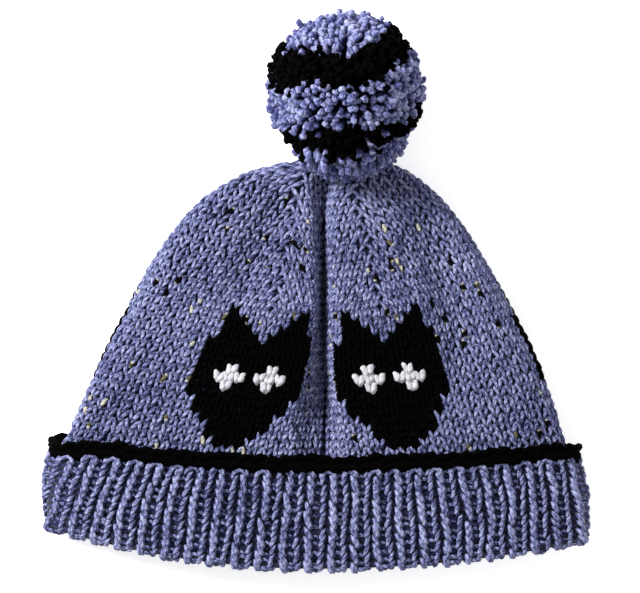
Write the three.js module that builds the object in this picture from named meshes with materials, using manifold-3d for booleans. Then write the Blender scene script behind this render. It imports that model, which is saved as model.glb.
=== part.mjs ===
// A knitted bobble hat lying flat on its back: a hollow stocking-stitch crown with a pleat down its
// front and five cat's heads worked into it, a turned-up ribbed cuff with a black cast-on edge, and a
// striped yarn pompom at the tip. Millimetres, +Z up, the hat's length along +Y from mouth to tip.
// The origin is on the surface that the hat lies on, under the middle of its bounding box.
import * as THREE from "three";
import { mergeVertices } from "three/addons/utils/BufferGeometryUtils.js";
import Module from "manifold-3d";

// Driving dimensions of the hat as it lies.
const HAT_LENGTH = 190;
const FLAT_WIDTH = 230;
const LOFT = 31;
const KNIT_WALL = 3.2;
const RIB_WALL = 3.8;
const LAYER_GAP = 0.8;
const TOUCH_GAP = 0.3;

// The turned-up cuff: its height, how far the crown reaches down behind it, and its ribbing.
const CUFF_HEIGHT = 46;
const CROWN_TUCKED = 14;
const RIB_COUNT = 45;
const RIB_DEPTH = 1.3;
const EDGE_HEIGHT = 7;
const EDGE_THICKNESS = 5;

// The pleat down the front, and the soft dips beside it.
const PLEAT_DEPTH = 16;
const PLEAT_ROUND = 4.8;
const DIP_DEPTH = 3.6;
const DIP_REACH = 15;

// The worked-in cat's heads, counted in stitches and rounds as they are knitted.
const STITCHES_ROUND = 90;
const ROUNDS_TALL = 33;
const CAT_COUNT = 5;
const CAT_FIRST_ROUND = 2.2;
const INLAY_DEPTH = 1.4;
const EYE_DEPTH = 1.0;
const EYE_SPREAD = 2;
const EYE_ROUND = 7.2;
const EYE_REACH = 1.4;

// The pompom, a ball of yarn tied at its middle and sewn to the crown's tip.
const POMPOM_DIAMETER = 74;
const POMPOM_ACROSS = 13.8;
const POMPOM_SEAT = 4.6;
const POMPOM_TILT = 14;
const POMPOM_TURN = 5;
const LOCK_SPACING = 18.5;
const LOCK_LENGTH = 8;
const TIE_RADIUS = 3;

// How finely the knitted walls are drawn.
const COLUMNS = 50;
const CROWN_ROWS = 13;
const LINING_ROWS = 9;

// The outline of the crown. "at" runs from the mouth to the tip, left and right are reaches from the
// hat's middle line as shares of its flat width, and bowLeft and bowRight say how far the sides of a
// round run ahead of its middle, as shares of the hat's length.
const OUTLINE = [
  { at: 0.0, left: 0.524, right: 0.532, bowLeft: 0.1, bowRight: 0.066 },
  { at: 0.124, left: 0.528, right: 0.53, bowLeft: 0.072, bowRight: 0.05 },
  { at: 0.242, left: 0.514, right: 0.512, bowLeft: 0.052, bowRight: 0.032 },
  { at: 0.285, left: 0.494, right: 0.5, bowLeft: 0.05, bowRight: 0.034 },
  { at: 0.367, left: 0.466, right: 0.476, bowLeft: 0.052, bowRight: 0.045 },
  { at: 0.464, left: 0.426, right: 0.442, bowLeft: 0.061, bowRight: 0.061 },
  { at: 0.561, left: 0.38, right: 0.396, bowLeft: 0.073, bowRight: 0.073 },
  { at: 0.658, left: 0.336, right: 0.35, bowLeft: 0.078, bowRight: 0.078 },
  { at: 0.743, left: 0.287, right: 0.306, bowLeft: 0.08, bowRight: 0.08 },
  { at: 0.816, left: 0.238, right: 0.263, bowLeft: 0.076, bowRight: 0.076 },
  { at: 0.876, left: 0.182, right: 0.221, bowLeft: 0.063, bowRight: 0.063 },
  { at: 0.925, left: 0.132, right: 0.186, bowLeft: 0.044, bowRight: 0.044 },
  { at: 0.961, left: 0.084, right: 0.154, bowLeft: 0.024, bowRight: 0.024 },
  { at: 0.985, left: 0.03, right: 0.108, bowLeft: 0.01, bowRight: 0.01 },
  { at: 1.0, left: -0.044, right: 0.048, bowLeft: 0.0, bowRight: 0.0 },
];

// Heights in the side view. rise is the front and tuck the back, as shares of the loft. lift is how
// far the back is held up by the cuff under it, as a share of the thickness of the cuff's edge.
const HEIGHTS = [
  { at: 0.0, rise: 0.8, tuck: 0.0, lift: 0.8 },
  { at: 0.15, rise: 0.9, tuck: 0.0, lift: 0.9 },
  { at: 0.242, rise: 0.96, tuck: 0.0, lift: 1.0 },
  { at: 0.3, rise: 1.0, tuck: 0.0, lift: 0.85 },
  { at: 0.46, rise: 1.06, tuck: 0.0, lift: 0.0 },
  { at: 0.6, rise: 1.08, tuck: 0.0, lift: 0.0 },
  { at: 0.8, rise: 1.0, tuck: 0.0, lift: 0.0 },
  { at: 0.9, rise: 0.9, tuck: 0.0, lift: 0.0 },
  { at: 0.95, rise: 0.88, tuck: 0.12, lift: 0.0 },
  { at: 0.985, rise: 0.9, tuck: 0.4, lift: 0.0 },
  { at: 1.0, rise: 0.94, tuck: 0.66, lift: 0.0 },
];

// The pleat. place is where its valley runs, as a share of the flat width, depth is a share of the
// pleat's depth, and left and right are how steeply its two sides stand, in degrees. tucked is how
// many stitches are lost in the valley on each side, and ease how much wider the front's stitches lie
// than the back's.
const PLEAT = [
  { at: 0.17, place: 0.024, depth: 0.0, left: 16, right: 45, tucked: 0.0, ease: 0.0 },
  { at: 0.242, place: 0.024, depth: 0.25, left: 16, right: 50, tucked: 0.0, ease: 0.0 },
  { at: 0.285, place: 0.024, depth: 0.42, left: 18, right: 58, tucked: 0.1, ease: 0.02 },
  { at: 0.415, place: 0.022, depth: 0.85, left: 38, right: 74, tucked: 0.8, ease: 0.08 },
  { at: 0.53, place: 0.018, depth: 1.0, left: 62, right: 79, tucked: 1.5, ease: 0.14 },
  { at: 0.68, place: 0.017, depth: 1.0, left: 78, right: 80, tucked: 1.8, ease: 0.14 },
  { at: 0.8, place: 0.017, depth: 0.86, left: 77, right: 79, tucked: 1.4, ease: 0.06 },
  { at: 0.9, place: 0.02, depth: 0.6, left: 72, right: 74, tucked: 0.7, ease: 0.0 },
  { at: 0.961, place: 0.03, depth: 0.3, left: 55, right: 58, tucked: 0.2, ease: 0.0 },
  { at: 1.0, place: 0.04, depth: 0.0, left: 40, right: 40, tucked: 0.0, ease: 0.0 },
];

// Two soft dips that run down from the pompom, one on each side of the pleat.
const LEFT_DIP = [
  { at: 0.6, place: -0.17, depth: 0.0 },
  { at: 0.72, place: -0.13, depth: 0.8 },
  { at: 0.86, place: -0.07, depth: 0.9 },
  { at: 0.96, place: -0.02, depth: 0.0 },
];
const RIGHT_DIP = [
  { at: 0.4, place: 0.31, depth: 0.0 },
  { at: 0.58, place: 0.28, depth: 0.9 },
  { at: 0.76, place: 0.235, depth: 1.0 },
  { at: 0.9, place: 0.18, depth: 0.6 },
  { at: 0.97, place: 0.15, depth: 0.0 },
];

// A cat's head, in stitches from its middle and rounds from its chin, half of it: the ear's tip is
// the tallest row. The other half mirrors it.
const CAT_HALF = [
  { stitch: 0.0, bottom: 0.0, top: 11.0 },
  { stitch: 1.4, bottom: 0.2, top: 11.4 },
  { stitch: 2.3, bottom: 0.9, top: 13.0 },
  { stitch: 3.2, bottom: 1.8, top: 14.7 },
  { stitch: 4.2, bottom: 3.2, top: 11.6 },
  { stitch: 5.1, bottom: 5.8, top: 9.4 },
];

// The pompom's yarn, from the foot on the crown to the top: where each colour ends, in degrees of
// latitude on the ball.
const POMPOM_LAYERS = [
  { name: "pompom_foot", until: -41, yarn: "blue" },
  { name: "pompom_lower_band", until: -22, yarn: "black" },
  { name: "pompom_middle", until: 14, yarn: "blue" },
  { name: "pompom_upper_band", until: 43, yarn: "black" },
  { name: "pompom_cap", until: 90, yarn: "blue" },
];

const YARN = {
  blue: new THREE.MeshStandardMaterial({ color: 0x6f76ad, roughness: 0.95, metalness: 0 }),
  black: new THREE.MeshStandardMaterial({ color: 0x17161a, roughness: 0.95, metalness: 0 }),
  white: new THREE.MeshStandardMaterial({ color: 0xe4e3e6, roughness: 0.95, metalness: 0 }),
};

const wasm = await Module();
wasm.setup();

const radians = THREE.MathUtils.degToRad;
const mix = THREE.MathUtils.lerp;
const clamp = THREE.MathUtils.clamp;
const hat = new THREE.Group();

// A column of a table at any "at": a curve through its rows that never overshoots them, and is level
// beyond its ends.
function read(table, column, at) {
  const last = table.length - 1;
  if (at <= table[0].at) return table[0][column];
  if (at >= table[last].at) return table[last][column];
  const chord = (k) => (table[k + 1][column] - table[k][column]) / (table[k + 1].at - table[k].at);
  const slope = (k) => {
    if (k === 0 || k === last) return chord(Math.min(k, last - 1));
    const [before, after] = [chord(k - 1), chord(k)];
    return before * after > 0 ? (2 * before * after) / (before + after) : 0;
  };
  const i = table.findIndex((row) => row.at > at) - 1;
  const [from, to] = [table[i], table[i + 1]];
  const span = to.at - from.at;
  const u = (at - from.at) / span;
  const [u2, u3] = [u * u, u * u * u];
  const rise = (u3 - 2 * u2 + u) * slope(i) + (u3 - u2) * slope(i + 1);
  return (2 * u3 - 3 * u2 + 1) * from[column] + (3 * u2 - 2 * u3) * to[column] + rise * span;
}

// How far the pleat lowers the front at a distance from its valley: a straight side, then a round.
function pleatDrop(distance, depth, steep) {
  if (depth <= 0) return 0;
  const angle = Math.min(radians(steep), Math.acos(Math.max(1 - depth / PLEAT_ROUND, 0)));
  const roundReach = PLEAT_ROUND * Math.sin(angle);
  const sideReach = (depth - PLEAT_ROUND * (1 - Math.cos(angle))) / Math.tan(angle);
  if (distance >= sideReach + roundReach) return 0;
  if (distance <= sideReach) return depth - distance * Math.tan(angle);
  const left = sideReach + roundReach - distance;
  return PLEAT_ROUND - Math.sqrt(PLEAT_ROUND ** 2 - left ** 2);
}

const DIP_FALL = 2.2;
const dip = (table, x, at) => {
  const away = (x - read(table, "place", at) * FLAT_WIDTH) / DIP_REACH;
  return DIP_DEPTH * read(table, "depth", at) * Math.exp(-DIP_FALL * away * away);
};

// One round of the hat, as a closed line that starts in the pleat's valley and runs over the front
// to the right, round the side fold and back under. The front is a flattened arch and the back is
// flat, with a quarter round at each side. Returns a function from a share of its length to a point.
const ARCH = 2.5;
const FRONT_STEPS = 80;
const SIDE_STEPS = 10;
const SIDE_FOLD = 0.3;
const VALLEY_CROWDING = 1.5;
const lifted = LAYER_GAP + EDGE_THICKNESS;
const roundsMade = new Map();

function roundAt(at, pleated) {
  const key = at + (pleated ? " pleated" : "");
  if (roundsMade.has(key)) return roundsMade.get(key);
  const left = -read(OUTLINE, "left", at) * FLAT_WIDTH;
  const right = read(OUTLINE, "right", at) * FLAT_WIDTH;
  const middle = (left + right) / 2;
  const half = (right - left) / 2;
  const under = read(HEIGHTS, "tuck", at) * LOFT + read(HEIGHTS, "lift", at) * lifted;
  const over = read(HEIGHTS, "rise", at) * LOFT;
  const fold = Math.min(SIDE_FOLD * LOFT, (over - under) / 2, half);
  const valley = read(PLEAT, "place", at) * FLAT_WIDTH;
  const depth = pleated ? read(PLEAT, "depth", at) * PLEAT_DEPTH : 0;
  const bow = {
    left: read(OUTLINE, "bowLeft", at) * HAT_LENGTH,
    right: read(OUTLINE, "bowRight", at) * HAT_LENGTH,
  };
  const line = [];
  const add = (x, z) => {
    const aside = (x - middle) / half;
    const ahead = (aside < 0 ? bow.left : bow.right) * aside * aside;
    line.push(new THREE.Vector3(x, at * HAT_LENGTH + ahead, z));
  };
  const front = (end, t) => {
    const x = mix(valley, end, Math.sin((Math.PI / 2) * t) ** VALLEY_CROWDING);
    const aside = Math.min(Math.abs(x - middle) / half, 1);
    const arch = (1 - aside ** ARCH) ** (1 / ARCH);
    const steep = read(PLEAT, end > valley ? "right" : "left", at);
    const drop = pleatDrop(Math.abs(x - valley), depth, steep);
    const dips = pleated ? (dip(LEFT_DIP, x, at) + dip(RIGHT_DIP, x, at)) * arch : 0;
    add(x, under + fold + (over - under - fold) * arch - drop - dips);
  };
  const back = (sign, k) => {
    const turn = (Math.PI / 2) * (k / SIDE_STEPS);
    add(middle + sign * (half - fold + fold * Math.cos(turn)), under + fold * (1 - Math.sin(turn)));
  };
  for (let k = 0; k <= FRONT_STEPS; k++) front(right, k / FRONT_STEPS);
  for (let k = 1; k <= SIDE_STEPS; k++) back(1, k);
  for (let k = SIDE_STEPS; k > 0; k--) back(-1, k);
  for (let k = FRONT_STEPS; k >= 0; k--) front(left, k / FRONT_STEPS);

  const run = [0];
  for (let k = 1; k < line.length; k++) run.push(run[k - 1] + line[k].distanceTo(line[k - 1]));
  const whole = run[run.length - 1];
  const pointAt = (share) => {
    const reach = (share - Math.floor(share)) * whole;
    const k = Math.max(run.findIndex((length) => length >= reach), 1);
    return line[k - 1].clone().lerp(line[k], (reach - run[k - 1]) / (run[k] - run[k - 1]));
  };
  roundsMade.set(key, pointAt);
  return pointAt;
}

// A point off the hat's outer face by a distance, outwards where it is positive.
const LOOK = 0.004;
function off(share, at, distance, pleated = true) {
  const here = roundAt(at, pleated)(share);
  if (distance === 0) return here;
  const ahead = Math.min(at + LOOK, 1);
  const along = roundAt(ahead, pleated)(share).sub(roundAt(ahead - 2 * LOOK, pleated)(share));
  const around = roundAt(at, pleated)(share + LOOK).sub(roundAt(at, pleated)(share - LOOK));
  const out = around.cross(along).normalize();
  return here.addScaledVector(out, distance);
}

// A closed geometry from rings of points: a ring of one point is a pole. With "loop" the last ring
// joins the first, as on a ring that goes all round.
function skin(rings, loop = false) {
  const positions = [];
  const starts = rings.map((ring) => {
    const start = positions.length / 3;
    ring.forEach((p) => positions.push(p.x, p.y, p.z));
    return start;
  });
  const faces = [];
  const bands = loop ? rings.length : rings.length - 1;
  for (let r = 0; r < bands; r++) {
    const next = (r + 1) % rings.length;
    const [a, b] = [starts[r], starts[next]];
    const [m, n] = [rings[r].length, rings[next].length];
    for (let k = 0; k < Math.max(m, n); k++) {
      const [k0, k1] = [k, (k + 1) % Math.max(m, n)];
      if (m === 1) faces.push(a, b + k0, b + k1);
      else if (n === 1) faces.push(a + k0, b, a + k1);
      else faces.push(a + k0, b + k0, b + k1, a + k0, b + k1, a + k1);
    }
  }
  return outward(positions, faces);
}

// The geometry with its faces pointing out, whichever way they were listed.
function outward(positions, faces) {
  const corner = (i) => new THREE.Vector3().fromArray(positions, 3 * faces[i]);
  let volume = 0;
  for (let i = 0; i < faces.length; i += 3) {
    volume += corner(i).dot(corner(i + 1).cross(corner(i + 2)));
  }
  if (volume < 0) {
    for (let i = 0; i < faces.length; i += 3) [faces[i], faces[i + 1]] = [faces[i + 1], faces[i]];
  }
  const geometry = new THREE.BufferGeometry();
  geometry.setAttribute("position", new THREE.Float32BufferAttribute(positions, 3));
  geometry.setIndex(faces);
  return geometry;
}

function toSolid(geometry) {
  const bare = geometry.clone();
  bare.deleteAttribute("normal");
  bare.deleteAttribute("uv");
  const merged = mergeVertices(bare, 1e-4);
  return new wasm.Manifold(
    new wasm.Mesh({
      numProp: 3,
      vertProperties: merged.attributes.position.array,
      triVerts: new Uint32Array(merged.index.array),
    }),
  );
}

function toGeometry(solid) {
  const mesh = solid.getMesh();
  const geometry = new THREE.BufferGeometry();
  geometry.setAttribute("position", new THREE.Float32BufferAttribute(mesh.vertProperties, 3));
  geometry.setIndex([...mesh.triVerts]);
  return geometry;
}

function place(name, yarn, geometry) {
  geometry.deleteAttribute("normal");
  geometry.computeVertexNormals();
  const mesh = new THREE.Mesh(geometry, YARN[yarn]);
  mesh.name = name;
  hat.add(mesh);
  return mesh;
}

// The share of the round of each column, crowded by the pleat and round the side folds. The spacing
// is its average times 1 - pleat * cos(turn) + folds * cos(2 * turn).
function columnShares(count, pleat, folds) {
  return Array.from({ length: count }, (_, k) => {
    const turn = (2 * Math.PI * k) / count;
    return (turn - pleat * Math.sin(turn) + (folds / 2) * Math.sin(2 * turn)) / (2 * Math.PI);
  });
}
const crownShares = columnShares(COLUMNS, 0.75, 0.32);
const crownRing = (at, distance) => crownShares.map((share) => off(share, at, distance));

function middleOf(ring) {
  return ring.reduce((sum, p) => sum.addScaledVector(p, 1 / ring.length), new THREE.Vector3());
}

// The crown's wall, from its join with the ribbing behind the cuff to the gathered tip. Its rows
// stand closer together towards the tip.
const crownStart = (CUFF_HEIGHT - CROWN_TUCKED) / HAT_LENGTH;
const cuffTop = CUFF_HEIGHT / HAT_LENGTH;
const TIP_CROWDING = 1.2;
const tipwards = (k, rows) => 1 - (1 - cuffTop) * (1 - k / rows) ** TIP_CROWDING;

function crownWall() {
  const outer = [crownStart, (crownStart + cuffTop) / 2];
  const lining = [crownStart];
  for (let k = 0; k < CROWN_ROWS; k++) outer.push(tipwards(k, CROWN_ROWS));
  for (let k = 0; k < LINING_ROWS; k++) lining.push(tipwards(k, LINING_ROWS));
  const face = outer.map((at) => crownRing(at, 0));
  const inside = lining.map((at) => crownRing(at, -KNIT_WALL));
  const tip = middleOf(crownRing(1, 0));
  const deep = tip.clone().setY(tip.y - KNIT_WALL);
  return skin([[tip], ...face.reverse(), ...inside, [deep]]);
}

// A knitted patch, bent on to the crown. Its columns are stitches from the patch's middle with a
// bottom and a top round each. It reaches through a list of depths under the crown's face.
const PATCH_ROWS = 3;
const crownAt = (round) => mix(cuffTop, 1, clamp(round / ROUNDS_TALL, 0, 1));

// Where a stitch stands on its round, as a share of the round from the pleat's valley.
function shareOf(stitch, at) {
  const half = STITCHES_ROUND / 2;
  const tucked = read(PLEAT, "tucked", at);
  const t = Math.max(half - Math.abs(half - stitch) - tucked, 0) / (half - tucked);
  const share = (t + read(PLEAT, "ease", at) * t * (1 - t)) / 2;
  return stitch <= half ? share : 1 - share;
}

function patch(columns, middle, firstRound, depths, grow, rows = PATCH_ROWS) {
  const stitchWide = (2 * FLAT_WIDTH) / STITCHES_ROUND;
  const roundTall = (HAT_LENGTH - CUFF_HEIGHT) / ROUNDS_TALL;
  const last = columns.length - 1;
  const normal = (k, side) => {
    if (k < 0 || k === last) return new THREE.Vector2(k < 0 ? -1 : 1, 0);
    const across = (columns[k + 1].stitch - columns[k].stitch) * stitchWide;
    const along = (columns[k + 1][side] - columns[k][side]) * roundTall;
    return new THREE.Vector2(-along, across).setLength(1).multiplyScalar(side === "top" ? 1 : -1);
  };
  const edge = (k, side) => {
    const [before, after] = [normal(k - 1, side), normal(k, side)];
    const mitre = grow / (1 + before.dot(after));
    const out = before.add(after).multiplyScalar(mitre);
    const stitch = columns[k].stitch + out.x / stitchWide;
    return { stitch, round: columns[k][side] + out.y / roundTall };
  };
  const positions = [];
  const faces = [];
  const wide = rows + 1;
  const layer = (last + 1) * wide;
  for (const depth of depths) {
    for (let k = 0; k <= last; k++) {
      const [low, high] = [edge(k, "bottom"), edge(k, "top")];
      for (let l = 0; l <= rows; l++) {
        const stitch = mix(low.stitch, high.stitch, l / rows);
        const at = crownAt(firstRound + mix(low.round, high.round, l / rows));
        const p = off(shareOf(middle + stitch, at), at, -depth);
        positions.push(p.x, p.y, p.z);
      }
    }
  }
  const quad = (a, b, c, d) => faces.push(a, b, c, a, c, d);
  const floor = (depths.length - 1) * layer;
  for (let k = 0; k < last; k++) {
    for (let l = 0; l < rows; l++) {
      const a = k * wide + l;
      quad(a, a + wide, a + wide + 1, a + 1);
      quad(floor + a + 1, floor + a + wide + 1, floor + a + wide, floor + a);
    }
  }
  for (let over = 0; over < floor; over += layer) {
    for (let k = 0; k < last; k++) {
      const [low, high] = [over + k * wide, over + k * wide + rows];
      quad(low, low + layer, low + layer + wide, low + wide);
      quad(high + wide, high + layer + wide, high + layer, high);
    }
    for (let l = 0; l < rows; l++) {
      const [start, end] = [over + l, over + last * wide + l];
      quad(start + 1, start + 1 + layer, start + layer, start);
      quad(end, end + layer, end + layer + 1, end + 1);
    }
  }
  return outward(positions, faces);
}

const CAT = [
  ...CAT_HALF.slice(1).reverse().map((row) => ({ ...row, stitch: -row.stitch })),
  ...CAT_HALF,
];
const EYE_TIP = 0.2;
const EYE = [-1, -0.5, 0, 0.5, 1].map((side) => ({
  stitch: side * EYE_REACH,
  bottom: -mix(EYE_REACH, EYE_TIP, Math.abs(side)),
  top: mix(EYE_REACH, EYE_TIP, Math.abs(side)),
}));
const PROUD = 2.5;
const EYE_PROUD = 0.6;

// The crown, with a pocket for each cat's head, and the heads and their eyes sunk into it level with
// its face. They stand between the wedges that the crown narrows by, two of them on the front.
function crownAndCats() {
  const pocketDepths = [-PROUD, 0, INLAY_DEPTH, INLAY_DEPTH + TOUCH_GAP];
  const holeDepths = [-EYE_PROUD, 0, EYE_DEPTH, INLAY_DEPTH + EYE_PROUD];
  let crown = toSolid(crownWall());
  for (let n = 0; n < CAT_COUNT; n++) {
    const middle = ((n + 0.5) * STITCHES_ROUND) / CAT_COUNT;
    const pocket = patch(CAT, middle, CAT_FIRST_ROUND, pocketDepths, TOUCH_GAP);
    crown = crown.subtract(toSolid(pocket));
    let cat = toSolid(patch(CAT, middle, CAT_FIRST_ROUND, [0, INLAY_DEPTH], 0));
    for (const side of [-1, 1]) {
      const eyeAt = [middle + side * EYE_SPREAD, CAT_FIRST_ROUND + EYE_ROUND];
      cat = cat.subtract(toSolid(patch(EYE, ...eyeAt, holeDepths, TOUCH_GAP, 1)));
      const eye = patch(EYE, ...eyeAt, [0, EYE_DEPTH], 0, 1);
      place(`cat_${n + 1}_eye_${side < 0 ? "a" : "b"}`, "white", eye);
    }
    place(`cat_${n + 1}`, "black", toGeometry(cat));
  }
  place("crown", "blue", toGeometry(crown));
}

// The ribbed cuff: one wall that comes down inside from the crown, turns at the mouth and stands up
// outside. Its two open faces are ribbed, and its two layers lie against each other.
const turnRadius = RIB_WALL + LAYER_GAP / 2;
const turnAt = turnRadius / HAT_LENGTH;
const TURN_STEPS = 3;
const ribShares = columnShares(2 * RIB_COUNT, 0, 0);

function ribRing(at, distance, groove, pleated, ahead = 0) {
  return ribShares.map((share, k) => {
    const p = off(share, at, distance + (k % 2 ? groove : 0), pleated);
    return p.setY(p.y + ahead);
  });
}

function cuff() {
  const innerRows = [turnAt, crownStart - TOUCH_GAP / HAT_LENGTH];
  const outerRows = [turnAt, crownStart, cuffTop];
  const inside = innerRows.map((at) => ribRing(at, -RIB_WALL, RIB_DEPTH, true));
  const insideBack = innerRows.map((at) => ribRing(at, 0, 0, true));
  const outside = outerRows.map((at) => ribRing(at, LAYER_GAP + RIB_WALL, -RIB_DEPTH, false));
  const outsideBack = outerRows.map((at) => ribRing(at, LAYER_GAP, 0, false));
  const turned = [];
  for (let k = 1; k < TURN_STEPS; k++) {
    const turn = (Math.PI * k) / TURN_STEPS;
    const distance = LAYER_GAP / 2 - turnRadius * Math.cos(turn);
    turned.push(ribRing(turnAt, distance, 0, false, -turnRadius * Math.sin(turn)));
  }
  const rings = [...inside.reverse(), ...turned, ...outside, ...outsideBack.reverse(), ...insideBack];
  place("cuff", "blue", skin(rings, true));
}

// The black cast-on edge: a plump roll that stands on the cuff's outer layer.
const EDGE_SIDES = 6;
const edgeShares = columnShares(56, 0, 0.42);

function castOnEdge() {
  const halfThick = EDGE_THICKNESS / 2 / Math.cos(Math.PI / EDGE_SIDES);
  const rings = [];
  for (let k = 0; k < EDGE_SIDES; k++) {
    const turn = (2 * Math.PI * (k + 0.5)) / EDGE_SIDES;
    const distance = LAYER_GAP + EDGE_THICKNESS / 2 + halfThick * Math.cos(turn);
    const ahead = TOUCH_GAP + (EDGE_HEIGHT / 2) * (1 + Math.sin(turn));
    const ring = edgeShares.map((share) => off(share, cuffTop, distance, false));
    rings.push(ring.map((p) => p.setY(p.y + ahead)));
  }
  place("cast_on_edge", "black", skin(rings, true));
}

// The pompom's axis, +Y before it is stood in place, points from its foot on the crown to its top.
// It leans up from the surface and is turned a little to the left. The ball lies on the surface and
// sinks into the crown's tip by its seat.
const ball = POMPOM_DIAMETER / 2;
const heart = ball - LOCK_LENGTH;
const pompomTurn = new THREE.Euler(radians(POMPOM_TILT), 0, radians(POMPOM_TURN), "ZXY");
const tipHeight = Math.min(mix(read(HEIGHTS, "tuck", 1), read(HEIGHTS, "rise", 1), 0.5) * LOFT, ball);
const reachAtTip = Math.sqrt(ball ** 2 - (ball - tipHeight) ** 2);
const pompomAhead = HAT_LENGTH + reachAtTip - POMPOM_SEAT;
const pompomMiddle = new THREE.Vector3(POMPOM_ACROSS, pompomAhead, ball);
const stand = new THREE.Matrix4().makeRotationFromEuler(pompomTurn).setPosition(pompomMiddle);
const BALL_SIDES = 16;
const BALL_STEP = 20;

// One colour's yarn at the ball's heart: the stretch between two latitudes, out from the tie, with
// half a gap at each cut.
function yarnHeart(south, north) {
  const point = (distance, latitude, side) => {
    const angle = radians(latitude);
    const shift = (side * TOUCH_GAP) / 2 / Math.cos(angle);
    return new THREE.Vector2(distance * Math.cos(angle), distance * Math.sin(angle) + shift);
  };
  const [toFoot, toTop] = [south <= -90, north >= 90];
  const steps = Math.ceil((north - south) / BALL_STEP);
  const points = [];
  if (toFoot) points.push(new THREE.Vector2(0, point(TIE_RADIUS, north, -1).y));
  else points.push(point(TIE_RADIUS, south, 1));
  for (let k = 0; k <= steps; k++) {
    const side = (k === 0 && !toFoot) - (k === steps && !toTop);
    const pole = (k === 0 && toFoot) || (k === steps && toTop);
    if (pole) points.push(new THREE.Vector2(0, toTop ? heart : -heart));
    else points.push(point(heart, mix(south, north, k / steps), side));
  }
  if (toTop) points.push(new THREE.Vector2(0, points[0].y));
  else points.push(point(TIE_RADIUS, north, -1));
  points.push(points[0].clone());
  return new THREE.LatheGeometry(points, BALL_SIDES);
}

// A lock of yarn: a blunt spike on a four-sided patch of the heart, narrower at the ball's surface.
const LOCK_TIP = 0.62;
const LOCK_DOME = 1.04;
const LOCK_ROOT = 0.9;
const LOCK_SUNK = 0.8;

function lock(latitude, longitude, tall, wide, reach) {
  const corner = (radius, spread, north, east) => {
    const angle = radians(90 - latitude) - (north * spread * tall) / 2;
    const turn = longitude + (east * spread * wide) / 2;
    return new THREE.Vector3().setFromSphericalCoords(radius, angle, turn);
  };
  const patchAt = (radius, spread) => [
    corner(radius, spread, -1, -1),
    corner(radius, spread, -1, 1),
    corner(radius, spread, 1, 1),
    corner(radius, spread, 1, -1),
  ];
  const root = patchAt(heart * LOCK_SUNK, LOCK_ROOT);
  const tip = patchAt(reach, LOCK_TIP);
  return skin([[middleOf(root)], root, tip, [middleOf(tip).multiplyScalar(LOCK_DOME)]]);
}

// One colour of the pompom: its heart with rows of locks round it, each row set off by half a lock.
const LOCK_UNEVEN = 0.03;

function yarnLayer(south, north) {
  const rows = Math.max(Math.round(radians(north - south) * (ball / LOCK_SPACING)), 1);
  let solid = toSolid(yarnHeart(south, north));
  for (let row = 0; row < rows; row++) {
    const latitude = mix(south, north, (row + 0.5) / rows);
    const round = 2 * Math.PI * ball * Math.cos(radians(latitude));
    const count = Math.max(Math.round(round / LOCK_SPACING), 4);
    for (let k = 0; k < count; k++) {
      const longitude = (2 * Math.PI * (k + (row % 2) / 2)) / count;
      const reach = ball * (1 / LOCK_DOME - LOCK_UNEVEN * (k % 3));
      const tall = radians(north - south) / rows;
      solid = solid.add(toSolid(lock(latitude, longitude, tall, (2 * Math.PI) / count, reach)));
    }
  }
  return toSolid(toGeometry(solid).applyMatrix4(stand));
}

// The crown's upper end without its pleat, filled and grown by a gap, for what stays clear of it.
function crownTip(gap) {
  const rings = [];
  for (let k = Math.floor(CROWN_ROWS / 2); k < CROWN_ROWS; k++) {
    rings.push(crownShares.map((share) => off(share, tipwards(k, CROWN_ROWS), gap, false)));
  }
  const tip = middleOf(crownRing(1, 0));
  return skin([[middleOf(rings[0])], ...rings, [tip.setY(tip.y + gap)]]);
}

// The pompom, let down until it touches the surface and cut clear of the crown's tip.
function pompom() {
  const layers = POMPOM_LAYERS.map((layer, n) => {
    const south = n ? POMPOM_LAYERS[n - 1].until : -90;
    return { ...layer, solid: yarnLayer(south, layer.until) };
  });
  const lowest = Math.min(...layers.map(({ solid }) => solid.boundingBox().min[2]));
  const clearance = toSolid(crownTip(2 * TOUCH_GAP));
  for (const { name, yarn, solid } of layers) {
    const lowered = toSolid(toGeometry(solid).translate(0, 0, -lowest));
    const parts = lowered.subtract(clearance).decompose();
    const [main] = parts.sort((a, b) => b.volume() - a.volume());
    place(name, yarn, toGeometry(main));
  }
}

crownAndCats();
cuff();
castOnEdge();
pompom();

// The origin goes under the middle of the hat, on the surface that it lies on.
const box = new THREE.Box3().setFromObject(hat, true);
const middle = box.getCenter(new THREE.Vector3());
hat.children.forEach((mesh) => mesh.geometry.translate(-middle.x, -middle.y, -box.min.z));

export default hat;
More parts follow.
